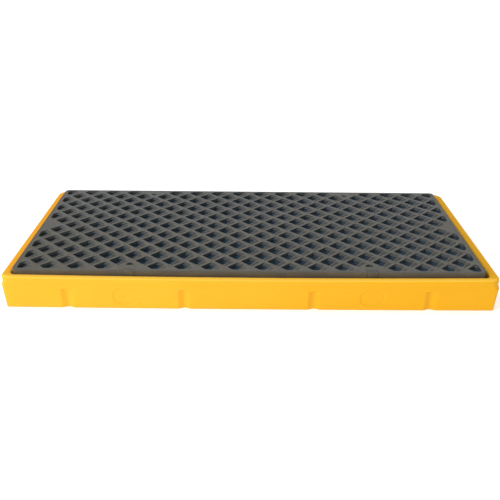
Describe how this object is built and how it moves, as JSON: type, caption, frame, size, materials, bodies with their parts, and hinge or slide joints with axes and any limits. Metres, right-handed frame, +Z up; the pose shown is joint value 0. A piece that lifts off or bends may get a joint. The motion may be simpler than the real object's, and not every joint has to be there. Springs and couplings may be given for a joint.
{
  "type": "spill containment pallet",
  "caption": "Low spill containment deck: a yellow moulded sump tray with a rolled rim, and a black diagonal-lattice deck that lifts off on push-on legs.",
  "frame": {"origin": "on the floor, under the middle of the tray", "axes": "+X along the tray's length, +Y towards its rear long side, +Z up"},
  "size_m": [1.3, 0.67, 0.103],
  "materials": {
    "tray": "satin moulded polyethylene, fine orange peel",
    "deck": "matte moulded polyethylene, dusty and worn on top",
    "clip": "satin moulded nylon",
    "leg": "matte moulded polyethylene"
  },
  "bodies": {
    "tray": {"sump_tray": "tray"},
    "deck": {"deck_grating": "deck", "joining_clip_front_left": "clip", "joining_clip_front_right": "clip", "joining_clip_rear_left": "clip", "joining_clip_rear_right": "clip", "support_leg_a1": "leg", "support_leg_a2": "leg", "support_leg_a3": "leg", "support_leg_a4": "leg", "support_leg_a5": "leg", "support_leg_b1": "leg", "support_leg_b2": "leg", "support_leg_b3": "leg", "support_leg_b4": "leg", "support_leg_b5": "leg", "support_leg_c1": "leg", "support_leg_c2": "leg", "support_leg_c3": "leg", "support_leg_c4": "leg", "support_leg_c5": "leg"}
  },
  "joints": [
    {"name": "deck_lift", "type": "slide", "parent": "tray", "child": "deck", "axis": [0, 0, 1], "range_m": [0, 0.12]}
  ]
}
